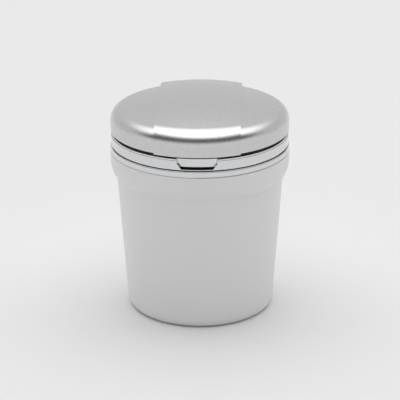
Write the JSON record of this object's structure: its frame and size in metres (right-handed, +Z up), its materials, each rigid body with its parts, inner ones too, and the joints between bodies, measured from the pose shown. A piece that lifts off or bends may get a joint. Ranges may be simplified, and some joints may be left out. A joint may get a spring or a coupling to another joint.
{
  "type": "cup holder car ashtray",
  "caption": "Cup-shaped car ashtray for a cup holder, with a hinged domed lid, a screw-off head with snuffer tubes, and a loose metal ash bucket.",
  "frame": {"origin": "middle of the foot, on the surface that the ashtray stands on", "axes": "+Z up along the cup, -Y to the thumb notch at the front, +Y to the lid hinge at the back, +X to the right"},
  "size_m": [0.0804, 0.083, 0.0979],
  "materials": {
    "cup_plastic": "pale silver lacquer on moulded plastic, semi-gloss",
    "lid_plastic": "satin silver lacquer on moulded plastic",
    "bright_trim": "bright plated",
    "black_plastic": "fine-grained heat-proof black moulding",
    "drawn_steel": "drawn sheet with faint turning marks",
    "plate_steel": "pressed sheet, brushed one way",
    "fastener_steel": "zinc-plated steel",
    "pad_rubber": "matt moulded rubber",
    "seal_rubber": "smooth black rubber"
  },
  "bodies": {
    "cup": {"cup": "cup_plastic", "foot_pad": "pad_rubber", "ash_bucket": "drawn_steel", "lower_trim_ring": "bright_trim"},
    "seal": {"neck_seal": "seal_rubber"},
    "head": {"head_body": "black_plastic", "head_ring": "bright_trim", "top_plate": "plate_steel", "plate_screws": "fastener_steel", "snuffer_tube_left": "drawn_steel", "snuffer_tube_right": "drawn_steel", "cigarette_rest": "plate_steel", "hinge_pin": "fastener_steel", "hinge_washers": "fastener_steel"},
    "lid": {"lid_shell": "lid_plastic", "lid_liner": "black_plastic", "lid_seal": "seal_rubber", "lid_screws": "fastener_steel"}
  },
  "joints": [
    {"name": "head_lift", "type": "slide", "parent": "cup", "child": "seal", "axis": [0, 0, 1], "range_m": [0, 0.00601]},
    {"name": "head_unscrew", "type": "hinge", "parent": "seal", "child": "head", "pos_m": [0, 0, 0.077], "axis": [0, 0, 1], "range_deg": [0, 270]},
    {"name": "lid_hinge", "type": "hinge", "parent": "head", "child": "lid", "pos_m": [0, 0.0373, 0.0803], "axis": [-1, 0, 0], "range_deg": [0, 95]}
  ],
  "couplings": [
    {"joint": "head_lift", "follows": "head_unscrew", "m_per_rad": 0.0012732}
  ]
}
